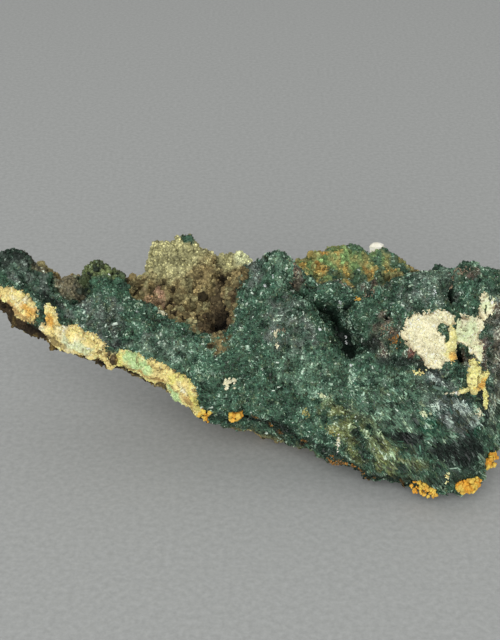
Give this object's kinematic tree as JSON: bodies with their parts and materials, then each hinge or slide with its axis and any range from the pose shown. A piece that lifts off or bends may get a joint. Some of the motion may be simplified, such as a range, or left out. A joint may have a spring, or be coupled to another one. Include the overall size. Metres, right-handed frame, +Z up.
{
  "type": "vandenbrandeite specimen",
  "caption": "Long hand specimen of dark green vandenbrandeite on olive-brown rock, thick at one end with a thin overhanging arm at the other, edged with yellow crusts; for display or study.",
  "frame": {"origin": "on the surface that the specimen rests on, under the middle of its outline", "axes": "+X along the specimen from the thin arm to the thick end, +Y from the green front to the olive back, +Z up"},
  "size_m": [0.063, 0.0299, 0.0238],
  "materials": {
    "green_rock": "dark green crystalline mineral grown over olive-brown rock, glinting where the crystals show their faces",
    "yellow_crust": "earthy cream-yellow crust",
    "cream_crust": "chalky cream crust",
    "ochre": "earthy orange-yellow grains",
    "white_crystal": "small milky crystal"
  },
  "bodies": {
    "root": {"rock": "green_rock", "yellow_crust_tip": "yellow_crust", "yellow_crust_arm": "yellow_crust", "yellow_crust_edge": "yellow_crust", "yellow_crust_right": "yellow_crust", "cream_crust": "cream_crust", "cream_crust_side": "cream_crust", "cream_grain": "cream_crust", "ochre_grain_1": "ochre", "ochre_grain_2": "ochre", "ochre_grain_3": "ochre", "ochre_grain_4": "ochre", "ochre_grain_5": "ochre", "white_crystal": "white_crystal"}
  },
  "joints": []
}
